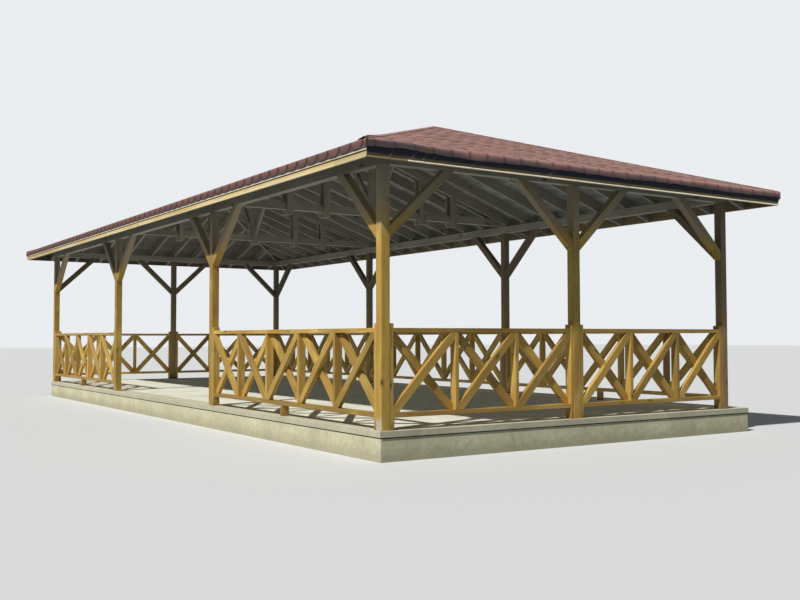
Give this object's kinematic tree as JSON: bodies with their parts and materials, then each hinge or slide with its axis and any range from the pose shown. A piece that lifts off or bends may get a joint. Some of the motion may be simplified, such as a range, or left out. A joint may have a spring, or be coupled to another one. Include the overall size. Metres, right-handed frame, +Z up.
{
  "type": "garden gazebo",
  "caption": "Open rectangular timber garden gazebo with a hipped shingle roof, knee-braced posts and crossed balustrades, on a low concrete plinth.",
  "frame": {"origin": "on the ground, under the middle of the roof", "axes": "+X along the long side, to the right as seen from the front; +Y from the front, with the entrance, to the back; +Z up"},
  "size_m": [15.258, 6.704, 4.5129],
  "materials": {
    "plinth_concrete": "cast concrete plinth wall, matt, pale grey-yellow, stained near the ground",
    "floor_concrete": "trowelled grey concrete floor, matt",
    "coping_concrete": "cast concrete edge slabs, matt, pale",
    "post_timber": "sawn pine, golden stain, satin, knots showing",
    "frame_timber": "sawn pine, golden-brown stain, satin",
    "balustrade_timber": "planed pine, golden stain, satin",
    "deck_boards": "roof boarding seen from below, brown, dull",
    "fascia_timber": "pale yellow stained fascia board, satin",
    "roof_shingles": "bituminous felt shingles with red-brown mineral granules"
  },
  "bodies": {
    "root": {"balustrade_back_left": "balustrade_timber", "balustrade_back_middle": "balustrade_timber", "balustrade_back_right": "balustrade_timber", "balustrade_front_left": "balustrade_timber", "balustrade_front_right": "balustrade_timber", "balustrade_left_back": "balustrade_timber", "balustrade_left_front": "balustrade_timber", "balustrade_right_back": "balustrade_timber", "balustrade_right_front": "balustrade_timber", "edge_coping": "coping_concrete", "fascia_boards": "fascia_timber", "floor_slab": "floor_concrete", "hip_and_ridge_caps": "roof_shingles", "hip_rafters": "frame_timber", "king_posts": "frame_timber", "knee_braces_back": "frame_timber", "knee_braces_front": "frame_timber", "knee_braces_left": "frame_timber", "knee_braces_right": "frame_timber", "plate_back": "frame_timber", "plate_front": "frame_timber", "plate_left": "frame_timber", "plate_right": "frame_timber", "plinth_base": "plinth_concrete", "post_back_1": "post_timber", "post_back_2": "post_timber", "post_back_3": "post_timber", "post_back_4": "post_timber", "post_front_1": "post_timber", "post_front_2": "post_timber", "post_front_3": "post_timber", "post_front_4": "post_timber", "post_left_middle": "post_timber", "post_right_middle": "post_timber", "rafters_back": "frame_timber", "rafters_front": "frame_timber", "rafters_left": "frame_timber", "rafters_right": "frame_timber", "ridge_beam": "frame_timber", "ridge_braces": "frame_timber", "roof_deck_back": "deck_boards", "roof_deck_front": "deck_boards", "roof_deck_left": "deck_boards", "roof_deck_right": "deck_boards", "shingles_back": "roof_shingles", "shingles_front": "roof_shingles", "shingles_left": "roof_shingles", "shingles_right": "roof_shingles", "tie_beam_left": "frame_timber", "tie_beam_right": "frame_timber", "truss_hangers_left": "frame_timber", "truss_hangers_right": "frame_timber"}
  },
  "joints": []
}
